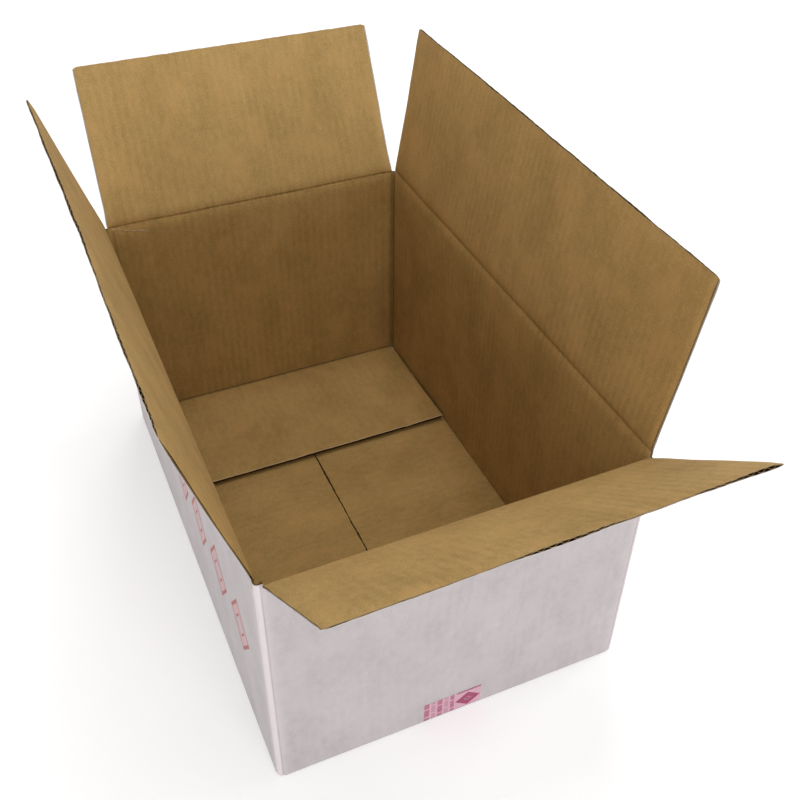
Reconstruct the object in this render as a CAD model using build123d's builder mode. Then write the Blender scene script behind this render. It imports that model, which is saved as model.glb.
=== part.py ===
from build123d import *
import math
import os

# Corrugated shipping box, standing open on a flat surface.
# The box is one creased and slotted sheet of single-wall board, folded into a
# tube, glued along one corner, with its four bottom flaps folded in and held
# by one strip of tape. Its four top flaps stand open on their creases.
# +Z is up, X runs across the width, Y along the length, and the origin is the
# middle of the footprint on the surface the box stands on. Millimetres.

# ---- board -----------------------------------------------------------------
BOARD = 2.8        # thickness of the sheet, B flute
LINER = 0.30       # each flat facing
MEDIUM = 0.25      # the wavy sheet between the facings
PITCH = 6.3        # one flute to the next
CREST = 1.2        # flat length where the wave is glued to a facing

# ---- box -------------------------------------------------------------------
WIDTH = 240.0      # inside, along X
LENGTH = 374.0     # inside, along Y
RIM = 189.5        # height of the end flaps' creases
FLAP = 118.0       # crease to free edge, top flaps
SLOT = 2.3         # each flap's side cut stands this far inside the corner
GAP = 0.15         # clearance between a folded flap and what it lies on
END_REACH = 113.9  # bottom end flaps, from the inside of their wall
SEAM = 0.8         # gap between the two bottom side flaps

# ---- folds -----------------------------------------------------------------
CORNER_R = 2.4     # outside of the four upright folds
FOOT = 0.8         # the corner folds stop this far above the surface
CRUSH = 4.0        # length of board pressed flat beside a fold
HEEL = 1.2         # bevel on the outside of a bottom fold

# ---- glue tab --------------------------------------------------------------
TAB_WIDTH = 31.0
TAB_THICK = 1.8    # pressed thinner by the glueing
TAB_TOP = 3.3      # below the crease at the corner
TAB_DROP = 11.4    # further below it at the tab's free edge

# ---- tape ------------------------------------------------------------------
TAPE_WIDTH = 48.0
TAPE_X = -2.6      # the strip was laid a little off the seam
TAPE = 0.10        # thickness
TAPE_BED = 0.15    # how far the board's face gives way under the strip
TAPE_FRONT = 20.5  # height of its end on the front wall
TAPE_BACK = 34.0   # and on the back wall

# ---- how far each flap leans out of upright, in degrees ---------------------
LEAN_FRONT = 50.0
LEAN_BACK = 28.0
LEAN_RIGHT = 9.0
LEAN_LEFT = 17.0

hw = WIDTH / 2
hl = LENGTH / 2
crease_step = BOARD + 2 * GAP      # side flaps close on top of the end flaps
rim_end = RIM                      # crease height, front and back
rim_side = RIM + crease_step       # crease height, left and right
top_end = rim_end - crease_step    # top of the front and back walls
top_side = rim_side - crease_step  # top of the left and right walls
top_corner = top_end - 1.5         # the slots run a little past the creases
hinge_x = hw + BOARD + GAP
hinge_y = hl + BOARD + GAP
lift = BOARD + 0.25                # underside of the bottom end flaps

# ---- flute section -----------------------------------------------------------
# One void above the wave and one below it, each a trapezoid between a facing
# and the wavy sheet. y = 0 is the outer face of the board, y = BOARD the inner.
rise = BOARD - 2 * LINER - MEDIUM
run = PITCH / 2 - CREST
slant = math.hypot(rise, run)
half_web = MEDIUM * slant / rise / 2
wide = CREST / 2 + half_web - MEDIUM / 2 * run / rise
narrow = CREST / 2 + run + half_web - MEDIUM / 2 * run / rise
inner_void = [
    (-(PITCH / 2 - wide), BOARD - LINER),
    (-(PITCH / 2 - narrow), LINER + MEDIUM),
    (PITCH / 2 - narrow, LINER + MEDIUM),
    (PITCH / 2 - wide, BOARD - LINER),
]
outer_void = [
    (-(PITCH / 2 - wide), LINER),
    (PITCH / 2 - wide, LINER),
    (PITCH / 2 - narrow, BOARD - LINER - MEDIUM),
    (-(PITCH / 2 - narrow), BOARD - LINER - MEDIUM),
]
flutes_end = int((WIDTH - 2 * CRUSH) // PITCH)
flutes_side = int((LENGTH - 2 * CRUSH) // PITCH)


def flute_voids(count, mode):
    """Both rows of voids of a panel, centred on x = 0 of the current sketch."""
    with Locations(*[((k - (count - 1) / 2) * PITCH, 0) for k in range(count)]):
        Polygon(*inner_void, align=None, mode=mode)
    with Locations(*[((k - (count - 2) / 2) * PITCH, 0) for k in range(count - 1)]):
        Polygon(*outer_void, align=None, mode=mode)


os.makedirs("parts", exist_ok=True)

# ---- carton_body: four walls, glue tab and four bottom flaps, one sheet ------
with BuildPart() as carton_body:
    # the four upright folds, which stand alone beside the slots and join the
    # walls into a tube
    with BuildSketch(Plane.XY.offset(FOOT)):
        Rectangle(WIDTH + 2 * BOARD, LENGTH + 2 * BOARD)
        Rectangle(WIDTH, LENGTH, mode=Mode.SUBTRACT)
        Rectangle(WIDTH - 2 * SLOT, LENGTH + 4 * BOARD, mode=Mode.SUBTRACT)
        Rectangle(WIDTH + 4 * BOARD, LENGTH - 2 * SLOT, mode=Mode.SUBTRACT)
    extrude(amount=top_corner - FOOT)
    upright = carton_body.edges().filter_by(Axis.Z)
    outside = [
        e for e in upright
        if abs(e.center().X) > hw + 0.5 and abs(e.center().Y) > hl + 0.5
        and not (e.center().X < 0 and e.center().Y > 0)
    ]
    fillet(outside, CORNER_R)

    # left and right walls with the bottom side flaps, between the slots
    for side in (-1, 1):
        with BuildSketch(Plane.XZ.offset(-(hl - SLOT))):
            Polygon(
                (side * (hw + BOARD), top_side),
                (side * (hw + BOARD), HEEL),
                (side * (hw + BOARD - HEEL), 0),
                (side * SEAM / 2, 0),
                (side * SEAM / 2, BOARD),
                (side * hw, BOARD),
                (side * hw, top_side),
                align=None,
            )
        extrude(amount=LENGTH - 2 * SLOT)

    # front and back walls with the bottom end flaps, which step up one board
    # just inside their fold to lie on the side flaps
    for end in (-1, 1):
        with BuildSketch(Plane.YZ.offset(-(hw - SLOT))):
            Polygon(
                (end * (hl + BOARD), top_end),
                (end * (hl + BOARD), 1.6),
                (end * (hl + BOARD - HEEL), 0.3),
                (end * (hl - SLOT + 0.4), lift),
                (end * (hl - END_REACH), lift),
                (end * (hl - END_REACH), lift + BOARD),
                (end * (hl - SLOT - 1.0), lift + BOARD),
                (end * hl, lift + 1.6),
                (end * hl, top_end),
                align=None,
            )
        extrude(amount=WIDTH - 2 * SLOT)

    # glue tab: the left wall carries on round the back left corner and is
    # glued to the inside of the back wall, its ends cut at a slant
    with BuildSketch(Plane.XZ.offset(-hl)):
        Polygon(
            (-hw, lift + BOARD + 3.0),
            (-hw + TAB_WIDTH, lift + BOARD + 3.0 + TAB_DROP),
            (-hw + TAB_WIDTH, rim_end - TAB_TOP - TAB_DROP),
            (-hw, rim_end - TAB_TOP),
            align=None,
        )
    extrude(amount=TAB_THICK)

    # the back wall's cut end shows at the glued corner, with a groove where
    # the left wall rounds into the tab
    with BuildSketch(Plane.XY.offset(-1)):
        Polygon(
            (-hw - BOARD - 1, hl - 1.8),
            (-hw - BOARD, hl - 1.8),
            (-hw - BOARD + 0.35, hl - 0.7),
            (-hw - BOARD + 1.3, hl),
            (-hw - BOARD - 1, hl),
            align=None,
        )
    extrude(amount=rim_side + 5, mode=Mode.SUBTRACT)

    # flutes of the walls, open at the top and pressed shut at the bottom folds
    wall_planes = [
        (Plane(origin=(0, -hl - BOARD, 6.5), x_dir=(1, 0, 0), z_dir=(0, 0, 1)), flutes_end),
        (Plane(origin=(0, hl + BOARD, 6.5), x_dir=(-1, 0, 0), z_dir=(0, 0, 1)), flutes_end),
        (Plane(origin=(hw + BOARD, 0, 6.5), x_dir=(0, 1, 0), z_dir=(0, 0, 1)), flutes_side),
        (Plane(origin=(-hw - BOARD, 0, 6.5), x_dir=(0, -1, 0), z_dir=(0, 0, 1)), flutes_side),
    ]
    for plane, count in wall_planes:
        with BuildSketch(plane):
            flute_voids(count, Mode.ADD)
        extrude(amount=RIM + 10, mode=Mode.SUBTRACT)

    # flutes of the bottom flaps, open at their free edges
    floor_planes = [
        (Plane(origin=(-hw + CRUSH, 0, 0), x_dir=(0, 1, 0), z_dir=(1, 0, 0)), flutes_side, hw - CRUSH),
        (Plane(origin=(hw - CRUSH, 0, 0), x_dir=(0, -1, 0), z_dir=(-1, 0, 0)), flutes_side, hw - CRUSH),
        (Plane(origin=(0, -hl + SLOT + CRUSH, lift), x_dir=(-1, 0, 0), z_dir=(0, 1, 0)), flutes_end, END_REACH),
        (Plane(origin=(0, hl - SLOT - CRUSH, lift), x_dir=(1, 0, 0), z_dir=(0, -1, 0)), flutes_end, END_REACH),
    ]
    for plane, count, reach in floor_planes:
        with BuildSketch(plane):
            flute_voids(count, Mode.ADD)
        extrude(amount=reach, mode=Mode.SUBTRACT)

    # the shallow bed that the tape has pressed along the seam
    with BuildSketch(Plane.XY):
        with Locations((TAPE_X, 0)):
            Rectangle(TAPE_WIDTH + 0.4, LENGTH + 20)
    extrude(amount=TAPE_BED, mode=Mode.SUBTRACT)
carton_body.part.label = "carton_body"
export_step(carton_body.part, "parts/carton_body.step")


# ---- the four top flaps ------------------------------------------------------
# Each is a flat fluted panel on its crease. Its sketch plane is square to the
# flap at the crease: x along the crease, y towards the inner face.
def lean_out(direction, degrees):
    """Unit vector up the flap, leaning out by this angle."""
    a = math.radians(degrees)
    return (direction[0] * math.sin(a), direction[1] * math.sin(a), math.cos(a))


front_plane = Plane(origin=(0, -hinge_y, rim_end), x_dir=(1, 0, 0), z_dir=lean_out((0, -1), LEAN_FRONT))
back_plane = Plane(origin=(0, hinge_y, rim_end), x_dir=(-1, 0, 0), z_dir=lean_out((0, 1), LEAN_BACK))
right_plane = Plane(origin=(hinge_x, 0, rim_side), x_dir=(0, 1, 0), z_dir=lean_out((1, 0), LEAN_RIGHT))
left_plane = Plane(origin=(-hinge_x, 0, rim_side), x_dir=(0, -1, 0), z_dir=lean_out((-1, 0), LEAN_LEFT))
start = 0.3        # the flap's material begins this far up from its crease line
crease_band = 3.0  # pressed flat beside the crease, no flutes

with BuildPart() as front_flap:
    with BuildSketch(front_plane.offset(start)):
        with Locations((0, GAP)):
            Rectangle(WIDTH - 2 * SLOT, BOARD, align=(Align.CENTER, Align.MIN))
    extrude(amount=FLAP - start)
    with BuildSketch(front_plane.offset(crease_band)):
        with Locations((0, GAP)):
            flute_voids(flutes_end, Mode.ADD)
    extrude(amount=FLAP, mode=Mode.SUBTRACT)
front_flap.part.label = "front_flap"
export_step(front_flap.part, "parts/front_flap.step")

with BuildPart() as back_flap:
    with BuildSketch(back_plane.offset(start)):
        with Locations((0, GAP)):
            Rectangle(WIDTH - 2 * SLOT, BOARD, align=(Align.CENTER, Align.MIN))
    extrude(amount=FLAP - start)
    with BuildSketch(back_plane.offset(crease_band)):
        with Locations((0, GAP)):
            flute_voids(flutes_end, Mode.ADD)
    extrude(amount=FLAP, mode=Mode.SUBTRACT)
back_flap.part.label = "back_flap"
export_step(back_flap.part, "parts/back_flap.step")

with BuildPart() as right_flap:
    with BuildSketch(right_plane.offset(start)):
        with Locations((0, GAP)):
            Rectangle(LENGTH - 2 * SLOT, BOARD, align=(Align.CENTER, Align.MIN))
    extrude(amount=FLAP - start)
    with BuildSketch(right_plane.offset(crease_band)):
        with Locations((0, GAP)):
            flute_voids(flutes_side, Mode.ADD)
    extrude(amount=FLAP, mode=Mode.SUBTRACT)
right_flap.part.label = "right_flap"
export_step(right_flap.part, "parts/right_flap.step")

with BuildPart() as left_flap:
    with BuildSketch(left_plane.offset(start)):
        with Locations((0, GAP)):
            Rectangle(LENGTH - 2 * SLOT, BOARD, align=(Align.CENTER, Align.MIN))
    extrude(amount=FLAP - start)
    with BuildSketch(left_plane.offset(crease_band)):
        with Locations((0, GAP)):
            flute_voids(flutes_side, Mode.ADD)
    extrude(amount=FLAP, mode=Mode.SUBTRACT)
left_flap.part.label = "left_flap"
export_step(left_flap.part, "parts/left_flap.step")

# ---- seam_tape: one strip along the bottom seam, turned up at both ends ------
yo = hl + BOARD
with BuildPart() as seam_tape:
    with BuildSketch(Plane.YZ.offset(TAPE_X - TAPE_WIDTH / 2)):
        Polygon(
            (-yo - TAPE, TAPE_FRONT),
            (-yo - TAPE, 1.55),
            (-yo + HEEL - 0.05, TAPE_BED - TAPE),
            (yo - HEEL + 0.05, TAPE_BED - TAPE),
            (yo + TAPE, 1.55),
            (yo + TAPE, TAPE_BACK),
            (yo, TAPE_BACK),
            (yo, 1.6),
            (yo - HEEL, TAPE_BED),
            (-yo + HEEL, TAPE_BED),
            (-yo, 1.6),
            (-yo, TAPE_FRONT),
            align=None,
        )
    extrude(amount=TAPE_WIDTH)
seam_tape.part.label = "seam_tape"
export_step(seam_tape.part, "parts/seam_tape.step")

print("flutes: end panels", flutes_end, "side panels", flutes_side)
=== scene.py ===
import bpy, bmesh, math
import numpy as np
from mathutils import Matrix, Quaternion


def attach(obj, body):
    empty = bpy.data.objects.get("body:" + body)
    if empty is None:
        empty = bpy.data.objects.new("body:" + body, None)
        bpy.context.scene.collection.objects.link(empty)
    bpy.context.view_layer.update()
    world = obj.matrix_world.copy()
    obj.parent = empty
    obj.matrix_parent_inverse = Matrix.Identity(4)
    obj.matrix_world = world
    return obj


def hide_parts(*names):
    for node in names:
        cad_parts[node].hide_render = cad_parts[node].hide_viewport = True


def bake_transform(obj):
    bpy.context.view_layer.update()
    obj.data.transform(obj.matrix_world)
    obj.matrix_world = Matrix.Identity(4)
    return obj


# Corrugated shipping box, white outside and plain kraft inside.
# The looks of one creased and slotted sheet of B flute board: two liners and a
# wavy medium between them, seen wherever the sheet is cut. Lengths below are
# in millimetres and go to metres when a mesh is made.

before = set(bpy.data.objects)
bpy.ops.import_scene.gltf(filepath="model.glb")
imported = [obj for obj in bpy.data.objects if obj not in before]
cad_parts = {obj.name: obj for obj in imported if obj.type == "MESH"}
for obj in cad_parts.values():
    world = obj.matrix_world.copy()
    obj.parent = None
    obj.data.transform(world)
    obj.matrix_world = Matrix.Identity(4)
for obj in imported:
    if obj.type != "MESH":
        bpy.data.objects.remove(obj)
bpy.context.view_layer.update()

MM = 0.001
BOARD, LINER, MEDIUM, PITCH, GAP = 2.8, 0.30, 0.25, 6.3, 0.15
HW, HL = 120.0, 187.0
FLAP, SLOT, FLOOR_LIFT, END_REACH = 118.0, 2.3, 3.05, 113.9
JOIN, FOOT, LOW_JOIN, SLOT_END = 184.9, 0.35, 9.0, 188.3
# the board's inside, the medium and the liners' hidden faces and cut ends, is a very dark kraft: painted shade
KRAFT, WHITE, CORE_SHADE, CUT, WHITECUT, TORN = range(6)

PANELS = {
    "front": dict(o=(0.0, -189.95), n=(0.0, -1.0), a=(1.0, 0.0), rim=189.5, inner=HW, along=HL, flutes=36, lean=50.0, u0=0.0, score=-0.9),
    "right": dict(o=(122.95, 0.0), n=(1.0, 0.0), a=(0.0, 1.0), rim=192.6, inner=HL, along=HW, flutes=58, lean=9.0, u0=315.0, score=-2.4),
    "back": dict(o=(0.0, 189.95), n=(0.0, 1.0), a=(-1.0, 0.0), rim=189.5, inner=HW, along=HL, flutes=36, lean=28.0, u0=630.0, score=-0.9),
    "left": dict(o=(-122.95, 0.0), n=(-1.0, 0.0), a=(0.0, -1.0), rim=192.6, inner=HL, along=HW, flutes=58, lean=17.0, u0=945.0, score=-2.4),
}
for key, p in PANELS.items():
    p["name"] = key
    p["half"] = p["inner"] - SLOT
    p["outer"] = p["inner"] + BOARD


# ---- even, repeatable unevenness ----------------------------------------------
def ease(t):
    t = np.clip(t, 0, 1)
    return t * t * (3 - 2 * t)


def wob(x, period, seed):
    """Smooth noise along a line, from -1 to 1."""
    table = np.random.default_rng(seed).uniform(-1, 1, 512)
    q = np.asarray(x, float) / period + 131.0
    i = np.floor(q).astype(int)
    f = q - i
    f = f * f * (3 - 2 * f)
    return table[i % 512] * (1 - f) + table[(i + 1) % 512] * f


def wob2(x, y, px, py, seed):
    """Smooth noise over a surface, from -1 to 1."""
    table = np.random.default_rng(seed).uniform(-1, 1, (64, 64))
    qx, qy = np.asarray(x, float) / px + 131.0, np.asarray(y, float) / py + 131.0
    i, j = np.floor(qx).astype(int), np.floor(qy).astype(int)
    f, g = qx - i, qy - j
    f, g = f * f * (3 - 2 * f), g * g * (3 - 2 * g)
    i0, i1, j0, j1 = i % 64, (i + 1) % 64, j % 64, (j + 1) % 64
    return (table[i0, j0] * (1 - f) + table[i1, j0] * f) * (1 - g) + (table[i0, j1] * (1 - f) + table[i1, j1] * f) * g


def bump(x, centre, width):
    return np.exp(-(((x - centre) / width) ** 2))


# ---- the box is a little out of square ------------------------------------------
# How far each rim corner, each bottom corner, and each flap's two tip corners, sit from their nominal place.
RIM_SHIFT = {
    "front_left": (-1.2, 0.0, 0.0),
    "front_right": (1.0, 0.0, 0.0),
    "back_left": (-1.3, 0.0, 0.6),
    "back_right": (-0.7, 0.0, 0.0),
}
BASE_SHIFT = {
    "front_left": (-0.8, 0.9, 0.0),
    "front_right": (2.0, -0.7, 0.0),
    "back_left": (0.0, 0.0, 0.0),
    "back_right": (0.0, 0.0, 0.0),
}
TIP_SHIFT = {  # (at the end of the crease with low u, at the end with high u): along the crease, out of the flap's plane, up the flap
    "front": ((1.0, 0.0, 0.0), (-1.1, -1.8, 0.0)),
    "right": ((0.0, -0.6, -0.8), (0.0, 0.4, -0.8)),
    "back": ((0.0, 0.0, 0.0), (-3.2, 0.0, 0.0)),
    "left": ((0.0, -0.8, -3.8), (0.0, -1.5, -2.4)),
}


def corner_shift(table, x, y):
    fx = np.clip((x / HW + 1) / 2, 0, 1)[..., None]
    fy = np.clip((y / HL + 1) / 2, 0, 1)[..., None]
    r = {k: np.array(v) for k, v in table.items()}
    low = r["front_left"] * (1 - fx) + r["front_right"] * fx
    high = r["back_left"] * (1 - fx) + r["back_right"] * fx
    return low * (1 - fy) + high * fy


def out_of_square(P):
    t = np.clip(P[..., 2:3] / 189.5, 0, 1)
    x, y = P[..., 0], P[..., 1]
    return P + corner_shift(RIM_SHIFT, x, y) * t + corner_shift(BASE_SHIFT, x, y) * (1 - t)


def place(p, n, u, z):
    """Panel coordinates to the box's own: n outward from the hinge line, u along it, z up."""
    n, u, z = np.broadcast_arrays(np.asarray(n, float), u, z)
    x = p["o"][0] + p["n"][0] * n + p["a"][0] * u
    y = p["o"][1] + p["n"][1] * n + p["a"][1] * u
    return out_of_square(np.stack([x, y, z], -1))


# ---- mesh collecting --------------------------------------------------------------
class Sheet:
    def __init__(self):
        self.v, self.uv, self.f, self.m, self.n = [], [], [], [], 0

    def grid(self, P, UV, mat):
        R, C = P.shape[:2]
        i = np.arange(R * C).reshape(R, C) + self.n
        q = np.stack([i[:-1, :-1], i[:-1, 1:], i[1:, 1:], i[1:, :-1]], -1).reshape(-1, 4)
        self.v.append(P.reshape(-1, 3)), self.uv.append(UV.reshape(-1, 2)), self.f.append(q)
        self.m.append(np.full(len(q), mat, int) if np.isscalar(mat) else np.asarray(mat).reshape(-1))
        self.n += R * C

    def slab(self, A, B, UV, mat_a, mat_b, mat_rim):
        """Two surfaces with the same grid, closed all round."""
        self.grid(A, UV, mat_a)
        self.grid(B, UV, mat_b)
        ends, sides = mat_rim if isinstance(mat_rim, tuple) else (mat_rim, mat_rim)
        for s, mat in ((np.s_[0, :], ends), (np.s_[-1, :], ends), (np.s_[:, 0], sides), (np.s_[:, -1], sides)):
            self.grid(np.stack([A[s], B[s]]), np.stack([UV[s], UV[s]]), mat)

    def make(self, name, mats, sharp=38.0, weld=2e-6):
        v = np.concatenate(self.v) * MM
        uv = np.concatenate(self.uv) * MM
        f = np.concatenate(self.f)
        mesh = bpy.data.meshes.new(name)
        mesh.vertices.add(len(v))
        mesh.vertices.foreach_set("co", v.astype(np.float32).ravel())
        mesh.loops.add(len(f) * 4)
        mesh.loops.foreach_set("vertex_index", f.astype(np.int32).ravel())
        mesh.polygons.add(len(f))
        mesh.polygons.foreach_set("loop_start", np.arange(0, len(f) * 4, 4, dtype=np.int32))
        mesh.polygons.foreach_set("material_index", np.concatenate(self.m).astype(np.int32))
        layer = mesh.uv_layers.new(name="sheet")
        layer.data.foreach_set("uv", uv[f.ravel()].astype(np.float32).ravel())
        for m in mats:
            mesh.materials.append(m)
        mesh.update(calc_edges=True)
        bm = bmesh.new()
        bm.from_mesh(mesh)
        bmesh.ops.remove_doubles(bm, verts=bm.verts, dist=weld)
        bmesh.ops.recalc_face_normals(bm, faces=bm.faces)
        for face in bm.faces:
            face.smooth = True
        bm.to_mesh(mesh)
        bm.free()
        mesh.set_sharp_from_angle(angle=math.radians(sharp))
        mesh.validate()
        ob = bpy.data.objects.new(name, mesh)
        bpy.context.scene.collection.objects.link(ob)
        return ob


# ---- materials ----------------------------------------------------------------------
class Nodes:
    def __init__(self, name):
        self.mat = bpy.data.materials.new(name)
        self.mat.use_nodes = True
        self.t = self.mat.node_tree
        self.t.nodes.clear()
        self.out = self.t.nodes.new("ShaderNodeOutputMaterial")
        self.bsdf = self.t.nodes.new("ShaderNodeBsdfPrincipled")
        self.t.links.new(self.bsdf.outputs[0], self.out.inputs[0])

    def put(self, socket, value):
        if isinstance(value, bpy.types.NodeSocket):
            self.t.links.new(value, socket)
        else:
            socket.default_value = value

    def set(self, **kw):
        for k, v in kw.items():
            self.put(self.bsdf.inputs[k.replace("_", " ")], v)

    def uv(self, su=1000.0, sv=1000.0, du=0.0, dv=0.0):
        """The sheet's own flat coordinates, in millimetres unless scaled: u across the flutes, v along them."""
        c = self.t.nodes.new("ShaderNodeUVMap")
        c.uv_map = "sheet"
        m = self.t.nodes.new("ShaderNodeMapping")
        self.t.links.new(c.outputs[0], m.inputs[0])
        m.inputs["Scale"].default_value = (su, sv, 1)
        m.inputs["Location"].default_value = (du, dv, 0)
        return m.outputs[0]

    def math(self, op, a, b=0.0, c=0.0, clamp=False):
        n = self.t.nodes.new("ShaderNodeMath")
        n.operation, n.use_clamp = op, clamp
        for s, v in zip(n.inputs, (a, b, c)):
            self.put(s, v)
        return n.outputs[0]

    def xyz(self, v):
        n = self.t.nodes.new("ShaderNodeSeparateXYZ")
        self.put(n.inputs[0], v)
        return n.outputs

    def noise(self, vec, scale=1.0, detail=2.0, rough=0.5, distort=0.0):
        n = self.t.nodes.new("ShaderNodeTexNoise")
        n.noise_dimensions = "2D"
        self.put(n.inputs["Vector"], vec)
        n.inputs["Scale"].default_value = scale
        n.inputs["Detail"].default_value = detail
        n.inputs["Roughness"].default_value = rough
        n.inputs["Distortion"].default_value = distort
        return n.outputs[0]

    def ramp(self, v, a, b, lo=0.0, hi=1.0, smooth=True):
        n = self.t.nodes.new("ShaderNodeMapRange")
        n.interpolation_type = "SMOOTHSTEP" if smooth else "LINEAR"
        self.put(n.inputs["Value"], v)
        for k, x in zip(("From Min", "From Max", "To Min", "To Max"), (a, b, lo, hi)):
            n.inputs[k].default_value = x
        return n.outputs[0]

    def mix(self, f, a, b, blend="MIX"):
        n = self.t.nodes.new("ShaderNodeMix")
        n.data_type, n.blend_type = "RGBA", blend
        self.put(n.inputs[0], f)
        for s, v in ((n.inputs[6], a), (n.inputs[7], b)):
            self.put(s, v if isinstance(v, bpy.types.NodeSocket) else (*v, 1.0))
        return n.outputs[2]

    def bump(self, height, strength=1.0, distance=0.001, normal=None):
        n = self.t.nodes.new("ShaderNodeBump")
        n.inputs["Strength"].default_value = strength
        n.inputs["Distance"].default_value = distance
        self.put(n.inputs["Height"], height)
        if normal is not None:
            self.put(n.inputs["Normal"], normal)
        return n.outputs[0]


def washboard(g, soft=1.0):
    """0 to 1 over each flute, stronger in some places than in others, and with the glue lines a little uneven."""
    at = g.xyz(g.uv())
    drift = g.noise(g.uv(1000 / 40, 1000 / 160), 1.0, 2.0)
    phase = g.math("MULTIPLY", g.math("ADD", at[0], g.math("MULTIPLY", g.math("SUBTRACT", drift, 0.5), 1.1)), 2 * math.pi / PITCH)
    wave = g.math("MULTIPLY", g.math("COSINE", phase), 0.5)
    reach = g.ramp(g.noise(g.uv(1000 / 55, 1000 / 90, 3.3, 7.1), 1.0, 2.0), 0.35, 0.68, 0.45 * soft, 1.0)
    return g.math("MULTIPLY", wave, reach)


WHITE_BASE, WHITE_SHADE = (0.575, 0.530, 0.542), (0.405, 0.373, 0.383)


def least(g, *values):
    out = values[0]
    for v in values[1:]:
        out = g.math("MINIMUM", out, v)
    return out


def off(g, a, b):
    """How far a is from b."""
    return g.math("ABSOLUTE", g.math("SUBTRACT", a, b))


def to_corner(g, end_half, side_half):
    """Distance from the nearest vertical score, told from the sheet's own coordinate."""
    u = g.xyz(g.uv())[0]
    return least(g, *[off(g, off(g, u, c), h) for c, h in ((0.0, end_half), (315.0, side_half), (630.0, end_half), (945.0, side_half))])


def to_crease(g):
    """Distance from the score that the top flap turns about, and whether it is an end wall's."""
    at = g.xyz(g.uv())
    end = g.ramp(least(g, off(g, at[0], 0.0), off(g, at[0], 630.0)), 123.0, 123.5, 1.0, 0.0, False)
    line = g.math("SUBTRACT", 190.2, g.math("MULTIPLY", end, 1.6))
    sway = g.math("MULTIPLY", g.math("SUBTRACT", g.noise(g.uv(1000 / 9.0, 1000 / 400.0, 5.0, 0.0), 1.0, 3.0), 0.5), 1.1)
    return off(g, at[1], g.math("ADD", line, sway)), end


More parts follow.
